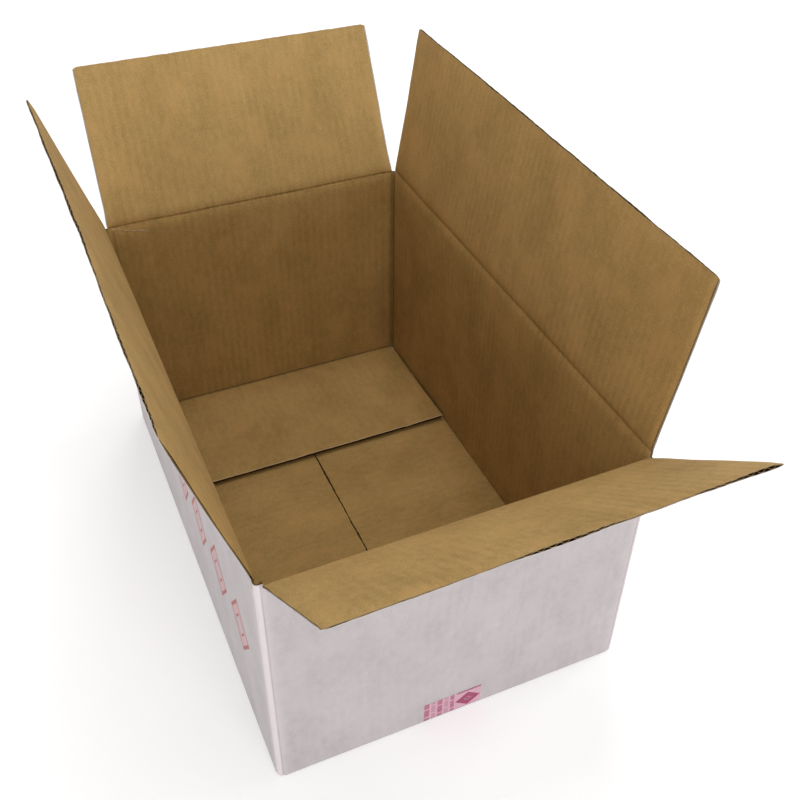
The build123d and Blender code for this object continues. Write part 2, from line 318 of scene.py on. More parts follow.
def kraft(name, light, dark, seed, fibre=1.0, wash=1.0, flecks=1.0, scored=True):
    g = Nodes(name)
    wave = washboard(g, 0.6)
    cloud = g.noise(g.uv(1000 / 34, 1000 / 62, seed, seed * 1.7), 1.0, 3.0, 0.55)
    blotch = g.noise(g.uv(1000 / 4.2, 1000 / 7.0, seed * 2.1, seed), 1.0, 3.0, 0.6)
    grain = g.noise(g.uv(1000 / 1.0, 1000 / 1.4, seed, 2.2), 1.0, 3.0, 0.7)
    strand = g.noise(g.uv(1000 / 0.5, 1000 / 7.0, seed, 1.1), 1.0, 2.0, 0.5, 0.6)
    calm = g.ramp(g.xyz(g.uv())[1], -2.0, 6.0, 0.35, 1.0)
    wave = g.math("MULTIPLY", wave, calm)
    f = g.math("ADD", g.math("MULTIPLY", g.math("SUBTRACT", cloud, 0.5), 0.75), 0.5)
    f = g.math("ADD", f, g.math("MULTIPLY", g.math("SUBTRACT", blotch, 0.5), 0.55))
    f = g.math("ADD", f, g.math("MULTIPLY", g.math("SUBTRACT", grain, 0.5), 1.45 * fibre))
    f = g.math("ADD", f, g.math("MULTIPLY", g.math("MULTIPLY", g.math("SUBTRACT", strand, 0.5), 0.45 * fibre), calm))
    # the flute stripes go into the colour as well as the bump: painted light and shade of the washboard ridges
    f = g.math("ADD", f, g.math("MULTIPLY", wave, 0.16 * wash), clamp=True)
    col = g.mix(f, dark, light)
    # a rosier cast here and there, as in recycled paper
    rosy = g.ramp(g.noise(g.uv(1000 / 21, 1000 / 30, seed * 3.0, 9.0), 1.0, 2.0), 0.46, 0.74)
    col = g.mix(g.math("MULTIPLY", rosy, 0.40), col, (light[0] * 1.0, light[1] * 0.92, light[2] * 0.90))
    # painted light: the back flap is made lighter and a little bluer above its crease, and the right flap lighter, for
    # the light they catch
    at = g.xyz(g.uv())
    up = g.ramp(at[1], 189.0, 196.0, 0.0, 1.0)
    far = g.math("MULTIPLY", g.ramp(off(g, at[0], 630.0), 121.0, 125.0, 0.060, 0.0), up)
    col = g.mix(far, col, (light[0] * 1.65, light[1] * 1.90, light[2] * 2.6))
    side = g.math("MULTIPLY", g.ramp(off(g, at[0], 315.0), 186.0, 190.0, 0.050, 0.0), up)
    col = g.mix(side, col, (light[0] * 1.70, light[1] * 1.35, light[2] * 1.4))
    # short dark and pale fibres
    darkf = g.ramp(g.noise(g.uv(1000 / 0.5, 1000 / 3.2, seed * 5.0, 3.0), 1.0, 1.0, 0.5, 1.2), 0.71, 0.80)
    col = g.mix(g.math("MULTIPLY", darkf, 0.30 * flecks), col, (dark[0] * 0.5, dark[1] * 0.45, dark[2] * 0.4))
    palef = g.ramp(g.noise(g.uv(1000 / 2.6, 1000 / 0.6, seed * 7.0, 5.0), 1.0, 1.0, 0.5, 1.2), 0.70, 0.80)
    col = g.mix(g.math("MULTIPLY", palef, 0.22 * flecks), col, (min(1, light[0] * 1.25), light[1] * 1.3, light[2] * 1.45))
    if scored:
        near = g.math("MULTIPLY", g.ramp(to_corner(g, HW, HL), 5.0, 20.0, 1.6, 0.0), g.ramp(g.xyz(g.uv())[1], 180.0, 188.0, 1.0, 0.0))
        wave = g.math("MULTIPLY", wave, g.math("ADD", near, 1.0))
        # painted shade: darker along the top scores, most on the end walls, and down the inner corners, where the
        # pressed grooves lie in shadow
        d, end = to_crease(g)
        broken = g.ramp(g.noise(g.uv(1000 / 2.4, 1000 / 60.0, 2.0, 4.0), 1.0, 3.0), 0.32, 0.62, 0.25, 1.0)
        wear_and_crease_shade = g.math("MULTIPLY", g.math("MULTIPLY", g.ramp(d, 0.25, 1.25, 1.0, 0.0), broken), g.math("ADD", 0.12, g.math("MULTIPLY", end, 0.30)))
        corner = g.math("MULTIPLY", g.ramp(to_corner(g, HW, HL), 0.6, 2.0, 0.35, 0.0), g.ramp(g.xyz(g.uv())[1], 186.0, 188.0, 1.0, 0.0))
        col = g.mix(g.math("MAXIMUM", wear_and_crease_shade, corner), col, (dark[0] * 0.42, dark[1] * 0.36, dark[2] * 0.30))
    rough = g.ramp(grain, 0.3, 0.7, 0.82, 0.94)
    h = g.math("ADD", g.math("MULTIPLY", wave, 0.038), g.math("MULTIPLY", g.math("ADD", grain, strand), 0.022))
    h = g.math("ADD", h, g.math("MULTIPLY", blotch, 0.025))
    g.set(Base_Color=col, Roughness=rough, Normal=g.bump(h, 1.0, 0.001))
    g.bsdf.inputs["Specular IOR Level"].default_value = 0.5
    return g


def white_liner(name, prints=False):
    g = Nodes(name)
    wave = washboard(g, 0.6)
    base, shade = WHITE_BASE, WHITE_SHADE
    cloud = g.noise(g.uv(1000 / 30, 1000 / 60, 4.0, 1.0), 1.0, 3.0, 0.55)
    mottle = g.noise(g.uv(1000 / 5.5, 1000 / 8.0, 9.0, 1.0), 1.0, 3.0, 0.6)
    grain = g.noise(g.uv(1000 / 0.9, 1000 / 1.5, 2.0, 5.0), 1.0, 3.0, 0.65)
    f = g.math("ADD", g.math("MULTIPLY", g.math("SUBTRACT", cloud, 0.5), 0.75), 0.6)
    f = g.math("ADD", f, g.math("MULTIPLY", g.math("SUBTRACT", mottle, 0.5), 0.6))
    f = g.math("ADD", f, g.math("MULTIPLY", g.math("SUBTRACT", grain, 0.5), 0.85))
    # the flute stripes go into the colour as well as the bump: painted light and shade of the washboard ridges
    f = g.math("ADD", f, g.math("MULTIPLY", wave, 0.09), clamp=True)
    col = g.mix(f, shade, base)
    lilac = g.ramp(g.noise(g.uv(1000 / 19, 1000 / 27, 6.0, 3.0), 1.0, 3.0), 0.42, 0.72)
    col = g.mix(g.math("MULTIPLY", lilac, 0.55), col, (base[0] * 0.985, base[1] * 0.945, base[2] * 0.965))
    fleck = g.ramp(g.noise(g.uv(1000 / 1.1, 1000 / 1.6, 8.0, 2.0), 1.0, 1.0), 0.74, 0.80)
    col = g.mix(g.math("MULTIPLY", fleck, 0.10), col, (0.40, 0.36, 0.34))
    # painted highlight: the white liner is made paler round the outer corner folds, in a narrow band on the fold and a
    # fainter wide band beside it, with a thin darker line painted between them
    e = to_corner(g, HW + BOARD, HL + BOARD)
    low = g.ramp(g.xyz(g.uv())[1], 191.5, 194.0, 1.0, 0.0)
    pale = g.math("MULTIPLY", g.ramp(e, 2.9, 3.7, 0.85, 0.0), low)
    col = g.mix(pale, col, (min(1, base[0] * 1.27), min(1, base[1] * 1.25), min(1, base[2] * 1.25)))
    wide = g.math("MULTIPLY", g.ramp(e, 3.8, 10.0, 0.30, 0.0), low)
    col = g.mix(wide, col, (min(1, base[0] * 1.27), min(1, base[1] * 1.25), min(1, base[2] * 1.25)))
    line = g.math("MULTIPLY", g.ramp(off(g, e, 3.75), 0.15, 0.55, 0.30, 0.0), low)
    col = g.mix(line, col, (0.36, 0.30, 0.32))
    if prints:
        col = row_of_shapes(g, col)
    rough = g.ramp(grain, 0.3, 0.7, 0.50, 0.62)
    h = g.math("ADD", g.math("MULTIPLY", wave, 0.030), g.math("MULTIPLY", grain, 0.014))
    h = g.math("ADD", h, g.math("MULTIPLY", cloud, 0.05))
    g.set(Base_Color=col, Roughness=rough, Normal=g.bump(h, 1.0, 0.001))
    g.bsdf.inputs["Specular IOR Level"].default_value = 0.35
    return g


def row_of_shapes(g, col):
    """A printed row of seven outlined lozenges along the left wall, each with a smaller outline inside."""
    at = g.xyz(g.uv())
    # the left wall's own u runs from its back end; its middle is at 945
    u = g.math("SUBTRACT", at[0], 945.0)
    v = g.math("SUBTRACT", at[1], 97.0)
    step = 46.0
    # keep the row between its two ends
    row = g.math("MULTIPLY", g.math("LESS_THAN", g.math("ABSOLUTE", u), step * 3.5), 1.0)
    cell = g.math("SUBTRACT", g.math("FRACT", g.math("ADD", g.math("DIVIDE", u, step), 0.5)), 0.5)
    cell = g.math("MULTIPLY", cell, step)
    big = g.math("ADD", g.math("DIVIDE", g.math("ABSOLUTE", cell), 19.0), g.math("DIVIDE", g.math("ABSOLUTE", v), 26.0))
    wear_and_crease_shade = g.math("MULTIPLY", g.math("SUBTRACT", g.noise(g.uv(1000 / 1.2, 1000 / 1.9, 1.0, 8.0), 1.0, 2.0), 0.5), 0.03)
    d = g.math("ADD", big, wear_and_crease_shade)
    fill = g.math("MULTIPLY", g.ramp(d, 0.98, 1.0, 1.0, 0.0), row)
    hole = g.ramp(d, 0.44, 0.47, 1.0, 0.0)
    outer = g.math("MULTIPLY", g.math("MULTIPLY", g.ramp(d, 0.82, 0.85), g.ramp(d, 0.98, 1.0, 1.0, 0.0)), row)
    inner = g.math("MULTIPLY", g.math("MULTIPLY", g.ramp(d, 0.33, 0.37), hole), row)
    body = g.math("MULTIPLY", g.math("MULTIPLY", fill, g.math("SUBTRACT", 1.0, hole)), 0.62)
    col = g.mix(body, col, (0.62, 0.31, 0.32))
    ink = g.math("MAXIMUM", outer, inner)
    # thin ink, broken by the paper's grain
    broken = g.ramp(g.noise(g.uv(1000 / 0.9, 1000 / 1.3, 4.0, 4.0), 1.0, 2.0), 0.25, 0.5, 0.55, 0.92)
    return g.mix(g.math("MULTIPLY", ink, broken), col, (0.38, 0.065, 0.060))


def raw_edge(name, a, b):
    g = Nodes(name)
    n = g.noise(g.uv(1000 / 0.9, 1000 / 0.9, 1.0, 2.0), 1.0, 3.0, 0.6)
    g.set(Base_Color=g.mix(n, a, b), Roughness=0.93, Normal=g.bump(n, 0.6, 0.0003))
    g.bsdf.inputs["Specular IOR Level"].default_value = 0.15
    return g


LIGHT, DARK = (0.522, 0.336, 0.120), (0.288, 0.178, 0.048)
kraft_mat = kraft("kraft_liner", LIGHT, DARK, 1.0).mat
white_mat = white_liner("white_liner").mat
printed_mat = white_liner("white_liner_printed", True).mat
# painted shade: the medium and the board's hidden inside get a very dark kraft, for the shadow down the open flutes and
# in the cuts
medium = kraft("kraft_medium_painted_shade", (0.095, 0.057, 0.022), (0.064, 0.037, 0.014), 4.0, 0.8, 0.0, 1.0, False)
medium.bsdf.inputs["Specular IOR Level"].default_value = 0.1
core_shade_mat = medium.mat
cut_mat = raw_edge("cut_kraft", (0.27, 0.18, 0.085), (0.44, 0.31, 0.165)).mat
white_cut_mat = raw_edge("cut_white_liner", (0.52, 0.46, 0.41), (0.66, 0.61, 0.57)).mat
torn_mat = raw_edge("torn_kraft", (0.54, 0.40, 0.24), (0.66, 0.51, 0.33)).mat
SHEET = [kraft_mat, white_mat, core_shade_mat, cut_mat, white_cut_mat, torn_mat]
SHEET_PRINTED = [kraft_mat, printed_mat, core_shade_mat, cut_mat, white_cut_mat]


# ---- top flaps, each with its crease and the top of its wall ---------------------------
# At each score the board is pressed: how deep, how far the dent reaches down the wall and up the flap, and
# the depth of the wheel's own narrow line.
PRESS = {"front": (1.30, 4.2, 2.8, 0.25), "right": (1.65, 3.8, 3.4, 0.10), "back": (1.75, 3.1, 3.4, 0.42), "left": (1.20, 4.6, 3.2, 0.20)}


def from_corner(p, u):
    """0 at a panel's inner corner, 1 a little way from it."""
    return np.clip((p["inner"] - np.abs(u)) / 2.5 - 0.6, 0, 1)


def valley(p, e):
    """How far each vertical score is pressed in, by the distance from the inner corner."""
    return 1.15 * (1 - ease((e - (1.9 if p["name"] == "right" else 0.9)) / 1.8))


def press(p, s, u):
    """How far the inner face gives way round the score."""
    deep, wall, flap, _ = PRESS[p["name"]]
    x = s - p["score"] - 0.22 * wob(u, 31.0, int(p["u0"]) + 40)
    r = np.sqrt(x * x + 0.16) - 0.4
    return from_corner(p, u) * deep * np.exp(-r / np.where(x < 0, wall, flap)) * (1 + 0.12 * wob(u, 23.0, int(p["u0"]) + 41))


def flap_rows(p):
    join = JOIN - p["rim"]
    c = p["score"]
    low = np.linspace(join, c - 1.9, int(math.ceil((c - 1.9 - join) / 0.75)) + 1)
    rows = list(low) + [c - 1.4, c - 1.0, c - 0.65, c - 0.3, c, c + 0.3, c + 0.65, c + 1.0, c + 1.4, c + 1.9, c + 2.6]
    rows += [c + 3.5, c + 4.7, c + 6.2, c + 8.2, c + 11.0, 14.0, 21.0, 31.0, 42.0, 53.0, 64.0, 75.0, 86.0, 95.0, 102.0, 107.5, 111.0, 113.4, 115.0, 116.2, 117.0, 117.6, 118.0]
    return np.array(sorted(set(rows)))


def bend(p, s, u, d, off=0.0):
    """A point of a panel: s up the sheet from the hinge line, u along it, d in from the outer face."""
    w = ease((s + 3.1) / 4.3)
    th = math.radians(p["lean"]) * w
    k = GAP + d
    n = s * np.sin(th) - (k + off) * np.cos(th)
    z = p["rim"] + s * np.cos(th) + (k + off) * np.sin(th)
    P = place(p, n, u, z)
    # the flap's own small error grows from its crease to its tip
    f = np.clip(s / FLAP, 0, 1)[..., None]
    g = np.clip((u / p["half"] + 1) / 2, 0, 1)[..., None]
    a, b = (np.array(v) for v in TIP_SHIFT[p["name"]])
    q = (a * (1 - g) + b * g) * f
    lean = math.radians(p["lean"])
    along = np.array([p["a"][0], p["a"][1], 0.0])
    out = np.array([p["n"][0] * math.cos(lean), p["n"][1] * math.cos(lean), -math.sin(lean)])
    up = np.array([p["n"][0] * math.sin(lean), p["n"][1] * math.sin(lean), math.cos(lean)])
    return P + q[..., 0:1] * along + q[..., 1:2] * out + q[..., 2:3] * up


CRUSH = {  # how thin the free edge is pressed, as a share of the board, along u from -1 to 1
    "front": [(-1.0, 0.52), (-0.93, 0.45), (-0.8, 0.36), (-0.45, 0.33), (-0.2, 0.42), (-0.08, 0.62), (0.12, 0.58), (0.3, 0.42), (0.6, 0.44), (0.75, 0.55), (0.86, 0.82), (0.93, 0.78), (1.0, 0.35)],
    "right": [(-1.0, 0.6), (0.0, 0.75), (1.0, 0.6)],
    "back": [(-1.0, 0.6), (0.0, 0.7), (1.0, 0.6)],
    "left": [(-1.0, 0.55), (-0.6, 0.60), (-0.2, 0.62), (0.2, 0.50), (0.55, 0.52), (0.8, 0.58), (0.93, 0.66), (1.0, 0.60)],
}


KEEP_SIDE = {"front": (0.36, 0.40), "right": (0.45, 0.55), "back": (0.45, 0.60), "left": (0.60, 0.40)}  # the same for the two side cuts
PROUD = {"front": (0.25, 0.3), "right": (0.70, 0.5), "back": (1.1, 0.5), "left": (0.35, 0.30)}      # how far the white liner stands out past them
CLOSE = {"front": (0.0, 0.0), "right": (0.2, 2.6), "back": (1.7, 0.9), "left": (0.9, 0.2)}       # how far each side cut leans into its slot's end


def cut_side(p, s):
    """0 where the flap's sides still join the corner posts, 1 above the slots."""
    return ease((s - (SLOT_END - p["rim"])) / 4.0)


def thickness(p, s, u, seed):
    """Depths of the outer and inner faces, where the board is crushed at its cuts and along its crease."""
    tip = FLAP - s
    side = p["half"] - np.abs(u)
    xs, ys = zip(*CRUSH[p["name"]])
    keep_tip = np.interp(u / p["half"], xs, ys) + 0.10 * wob(u, 19.0, seed + 1) + 0.07 * wob(u, 5.0, seed + 2)
    keep_side = np.where(u < 0, *KEEP_SIDE[p["name"]]) + 0.12 * wob(s + np.sign(u) * 500, 14.0, seed + 3)
    k = 1 - (1 - np.clip(keep_tip, 0.28, 1.0)) * np.exp(-((tip / 4.8) ** 2))
    k = k * (1 - (1 - np.clip(keep_side, 0.30, 1.0)) * np.exp(-((side / 2.8) ** 2)) * cut_side(p, s))
    lost = BOARD * (1 - k)
    c = p["score"]
    sway = 0.25 * wob(u, 30.0, seed + 4) + 0.10 * wob(u, 7.0, seed + 5)
    line = PRESS[p["name"]][3] * (1 + 0.45 * wob(u, 11.0, seed + 6) + 0.35 * wob(u, 4.0, seed + 7))
    groove = press(p, s, u) + from_corner(p, u) * line * bump(s, c + sway, 0.6)
    bead = 0.22 * bump(s, c + sway, 1.5) * from_corner(p, u)
    d_out = 0.35 * lost - bead
    d_in = BOARD - 0.65 * lost - groove - valley(p, p["inner"] - np.abs(u)) * (1 - cut_side(p, s))
    return d_out, np.maximum(d_in, d_out + 0.66)


def waviness(p, s, u, seed):
    """The flap's gentle unevenness, out of its plane, none along the crease."""
    f = np.clip((s - 1) / 30, 0, 1)
    edge = np.exp(-((FLAP - s) / 9.0))
    return f * (0.45 * wob2(u, s, 85.0, 60.0, seed) + 0.12 * wob2(u, s, 24.0, 40.0, seed + 1)) + edge * (0.22 * wob(u, 17.0, seed + 2) + 0.10 * wob(u, 6.3, seed + 3))


def outline(p, s, u, seed, extra=0.0, proud=None):
    """Moves a cut edge by a fraction of a millimetre, as a worn die leaves it, and takes the corners off."""
    near_tip = np.exp(-((FLAP - s) / 1.5))
    near_side = np.exp(-((p["half"] - np.abs(u)) / 1.2)) * cut_side(p, s)
    ds = near_tip * (0.22 * wob(u, 9.0, seed) + 0.16 * wob(u, 2.6, seed + 1) + extra)
    ds = ds - near_tip * 1.1 * np.exp(-((p["half"] - np.abs(u)) / 1.3))
    proud = np.where(u < 0, *PROUD[p["name"]]) if proud is None else proud
    du = np.sign(u) * near_side * (proud - 0.10 - 0.16 * wob(s + 300 * np.sign(u), 8.0, seed + 2) - 0.10 * wob(s + 300 * np.sign(u), 2.2, seed + 3))
    lean_in = np.where(u < 0, *CLOSE[p["name"]]) * np.exp(-np.maximum(s - SLOT_END + p["rim"], 0) / 9.0) * cut_side(p, s + 3.0)
    du = du + np.sign(u) * lean_in * np.exp(-((p["half"] - np.abs(u)) / 4.0))
    return s + np.minimum(ds, 0.1), u + du


def columns(p, per_flute):
    """Positions along the crease, closer together beside the two side cuts."""
    h = p["half"]
    edge = np.array([0.0, 0.35, 0.9, 1.7, 2.8, 4.3])
    inner = h - 6.0
    n = int(round(2 * inner / PITCH * per_flute))
    return np.concatenate([-h + edge, np.linspace(-inner, inner, n + 1), h - edge[::-1]])


def build_flap(name):
    p = PANELS[name]
    seed = {"front": 100, "right": 200, "back": 300, "left": 400}[name]
    sh = Sheet()
    rows = flap_rows(p)
    cols = columns(p, 4)
    S, U = np.meshgrid(rows, cols, indexing="ij")
    uv = np.stack([U + p["u0"], S + p["rim"]], -1)
    d_out, d_in = thickness(p, S, U, seed)
    wav = waviness(p, S, U, seed + 20)
    # each liner is cut on its own line and curls a little at the free edge
    so, uo = outline(p, S, U, seed + 30)
    si, ui = outline(p, S, U, seed + 40, 0.0, -0.15)
    liner = lambda s, u, d: bend(p, s, u, d, 0.0)
    shift = wav
    sh.slab(liner(si, ui, d_in + shift), liner(si, ui, d_in - LINER + shift), uv, KRAFT, CORE_SHADE, (CUT, CORE_SHADE))
    back = np.full((len(rows) - 1, len(cols) - 1), CORE_SHADE)
    back[:, :2] = back[:, -2:] = WHITECUT
    sh.slab(liner(so, uo, d_out + shift), liner(so, uo, d_out + LINER + shift), uv, WHITE, back, WHITECUT)
    # the wavy medium, from just past the crease to the free edge
    rows_m = np.array([3.2, 6.0, 14.0, 35.0, 65.0, 95.0, 107.0, 112.0, 114.8, 116.4, 117.3, 117.85])
    n = p["flutes"] * 10
    half = p["half"] - 0.35
    cols_m = np.linspace(-half, half, n + 1)
    S, U = np.meshgrid(rows_m, cols_m, indexing="ij")
    uvm = np.stack([U + p["u0"], S + p["rim"]], -1)
    d_out, d_in = thickness(p, S, U, seed)
    low, high = d_out + LINER + 0.02, d_in - LINER - 0.02
    squeeze = np.clip((high - low) / (BOARD - 2 * LINER), 0, 1)
    lean_over = (1 - squeeze) * (0.9 * wob(U, 6.3, seed + 50)) * np.exp(-((FLAP - S) / 5.0))
    phase = 2 * np.pi * (U / PITCH) + lean_over * 1.5
    wave = np.tanh(1.7 * np.cos(phase)) / math.tanh(1.7)
    amp = np.maximum((high - low - MEDIUM) / 2, 0.02)
    mid = (high + low) / 2 + amp * wave
    wav = waviness(p, S, U, seed + 20)
    sm, um = outline(p, S, U, seed + 60, -0.15, 0.0)
    sh.slab(bend(p, sm, um, mid + MEDIUM / 2 + wav), bend(p, sm, um, mid - MEDIUM / 2 + wav), uvm, CORE_SHADE, CORE_SHADE, CUT)
    ob = sh.make(name + "_flap_board", SHEET)
    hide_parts(name + "_flap")
    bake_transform(ob)
    return ob


flaps = {k: build_flap(k) for k in PANELS}


# ---- the tube of four walls --------------------------------------------------------------
R_OUT, R_IN = 3.0, 0.5
TURNS = np.radians([9, 18, 27, 36, 45.0])


def wall_columns(p, inside):
    """u of each column of one panel with half of each corner fold, and how far the fold has turned there.
    The inner and outer faces have the same number, so that a cut can join them."""
    outer = p["inner"] if inside else p["outer"]
    r = R_IN if inside else R_OUT
    flat = outer - r
    h = p["half"]
    n = int(round(2 * (h - 16) / PITCH))
    ends = np.array([0, 0.7, 1.4, 2.1, 2.9, 3.8, 4.8, 6.0, 7.5, 9.5, 12.5])
    mid = np.concatenate([-h + ends, np.linspace(-h + 16, h - 16, n + 1), h - ends[::-1]])
    side = np.linspace(h, flat, 9)[1:]
    turned = flat + r * np.sin(TURNS)
    u = np.concatenate([-turned[::-1], -side[::-1], mid, side, turned])
    turn = np.concatenate([TURNS[::-1], np.zeros(len(mid) + 16), TURNS])
    return u, turn, r


def wall_surface(p, z, inside):
    u, turn, r = wall_columns(p, inside)
    Z, U = np.meshgrid(z, u, indexing="ij")
    T = np.repeat(turn[None, :], len(z), 0)
    e = (p["inner"] if inside else p["outer"]) - np.abs(U)
    k = int(p["u0"]) + (600 if inside else 700)
    soft = 0.30 * wob2(U, Z, 70.0, 90.0, k) * np.clip((e - 4) / 20, 0, 1) * np.clip((JOIN - Z) / 30, 0, 1) * np.clip((Z - LOW_JOIN) / 20, 0, 1)
    top = ease((JOIN + 1.0 - Z) / 8.0)
    head = ease((Z - JOIN) / 3.4)
    if inside:
        # the vertical scores are pressed in: a narrow valley along each corner, with a soft ridge beside it
        v = valley(p, e) * (1 + 0.10 * wob(Z, 37.0, 77) * ease((JOIN - Z) / 10.0))
        N = -BOARD - GAP + v + press(p, Z - p["rim"], U) - 0.26 * bump(e, 4.6, 1.1) * top + soft
        N = N + 0.55 * head * (1 - ease((e - 0.8) / 1.5))
        U = U + np.sign(U) * v * (1 - ease((e - 0.6) / 1.6))
    else:
        soft = soft * (1 - np.exp(-((U / 44.0) ** 8)) * np.exp(-((Z / 60.0) ** 8)) * (p["inner"] == HW))
        fall = 0.42 * np.exp(-np.maximum(e - 3.9, 0) / 4.2) * top
        heel = 0.75 * np.clip(1 - (Z - FOOT) / 1.6, 0, 1) ** 2
        N = -GAP - fall - heel - 0.26 * bump(e, 3.75, 0.38) * top + soft - 0.35 * head
        U = U - np.sign(U) * (fall + heel) * (1 - ease((e - 3.0) / 2.1))
    N = N - r + r * np.cos(T)
    return U, N, Z


def wall_points(p, z, inside):
    U, N, Z = wall_surface(p, np.asarray(z, float), inside)
    return place(p, N, U, Z), np.stack([U + p["u0"], Z], -1), wall_columns(p, inside)[0]


walls = Sheet()
z_walls = np.array([LOW_JOIN, 13.0, 20.0, 32.0, 48.0, 66.0, 84.0, 102.0, 120.0, 136.0, 149.0, 158.0, 165.0, 170.0, 174.0, 177.0, 179.3, 181.1, 182.6, 183.8, JOIN])
z_foot = np.array([FOOT, 0.6, 1.0, 1.5, 2.2, 3.5, 5.5, LOW_JOIN])
z_head = np.array([JOIN, 186.0, 187.2, SLOT_END - 0.25, SLOT_END])
HEAD = {"front": (4.8, -2.2), "right": (-2.2, 0.7), "back": (0.7, 0.6), "left": (0.6, 4.8)}  # how far each corner's slot stops above SLOT_END
for key, p in PANELS.items():
    So, UVo, U = wall_points(p, z_walls, False)
    Si, UVi, _ = wall_points(p, z_walls, True)
    walls.grid(So, UVo, WHITE)
    walls.grid(Si, UVi, KRAFT)
    flat = np.abs(U) <= p["half"] + 1e-6
    for row in (0, -1):
        walls.grid(np.stack([So[row], Si[row]])[:, flat], np.stack([UVo[row], UVi[row]])[:, flat], CUT)
    for zs, row in ((z_foot, 0), (z_head, -1)):
        for side in (-1, 1):
            more = HEAD[key][0 if side < 0 else 1] / (SLOT_END - JOIN) if row else 0.0
            Fo, UVo2, _ = wall_points(p, zs + (zs - JOIN) * more, False)
            Fi, UVi2, _ = wall_points(p, zs + (zs - JOIN) * more, True)
            keep = side * U >= p["half"] - 1e-6
            walls.grid(Fo[:, keep], UVo2[:, keep], WHITE)
            walls.grid(Fi[:, keep], UVi2[:, keep], KRAFT)
            walls.grid(np.stack([Fo[row], Fi[row]])[:, keep], np.stack([UVo2[row], UVi2[row]])[:, keep], WHITECUT if row == 0 else CORE_SHADE)
            c = np.where(keep)[0][0 if side > 0 else -1]
            walls.grid(np.stack([Fo[:, c], Fi[:, c]]), np.stack([UVo2[:, c], UVi2[:, c]]), WHITE if row == 0 else CORE_SHADE)
walls_ob = walls.make("walls_board", SHEET_PRINTED)
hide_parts("carton_body")
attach(walls_ob, "carton")


# ---- bottom flaps ------------------------------------------------------------------------
def floor_path(kind, end):
    """The outer and the inner face of a bottom flap, as (n from the inside of the wall, z) row by row: down from
    LOW_JOIN, round the fold and in along the floor to n = -end. Also each row's distance along the floor."""
    down = np.array([0.0, 0.4, 0.75, 1.0])
    th = np.radians(np.linspace(0, 90, 7)[1:])
    if kind == "side":
        ro, co, ri, ci = 1.5, (BOARD - 1.5, 1.5), 0.6, (-0.6, BOARD + 0.6)
        z_out, z_in = 0.1, BOARD
    else:
        # the end walls stand on the floor too, and their flaps step up over the side flaps' cut ends
        ro, co, ri, ci = 1.2, (BOARD - 1.2, 1.5), 0.7, (-0.7, 5.35)
        z_out, z_in = FLOOR_LIFT, FLOOR_LIFT + BOARD
    outer = [(BOARD, LOW_JOIN + (co[1] - LOW_JOIN) * t) for t in down] + [(co[0] + ro * math.cos(t), max(co[1] - ro * math.sin(t), 0.1)) for t in th]
    inner = [(0.0, LOW_JOIN + (ci[1] - LOW_JOIN) * t) for t in down] + [(ci[0] + ri * math.cos(t) + 1.0 * math.sin(2 * t), ci[1] - ri * math.sin(t) - 0.75 * math.sin(2 * t)) for t in th]
    if kind == "end":
        for t in np.linspace(0, 1, 7)[1:]:
            e = float(ease(t))
            outer.append((1.6 - 3.9 * t, 0.3 + (z_out - 0.3) * e))
            inner.append((-0.7 - 3.0 * t, 4.65 + (z_in - 4.65) * e))
    no, ni = outer[-1][0], inner[-1][0]
    length = end + ni
    d = np.array([1.2, 3.0, 6.0, 12.0, 22.0, 36.0, 52.0, 68.0, 84.0])
    d = np.concatenate([d[d < length - 15], length - np.array([13.0, 8.0, 5.0, 3.0, 1.6, 0.7, 0.0])])
    run = np.concatenate([np.zeros(len(outer)), d])
    outer += [(no + (-end - no) * t / length, z_out) for t in d]
    inner += [(ni + (-end - ni) * t / length, z_in) for t in d]
    return np.array(outer), np.array(inner), run, length


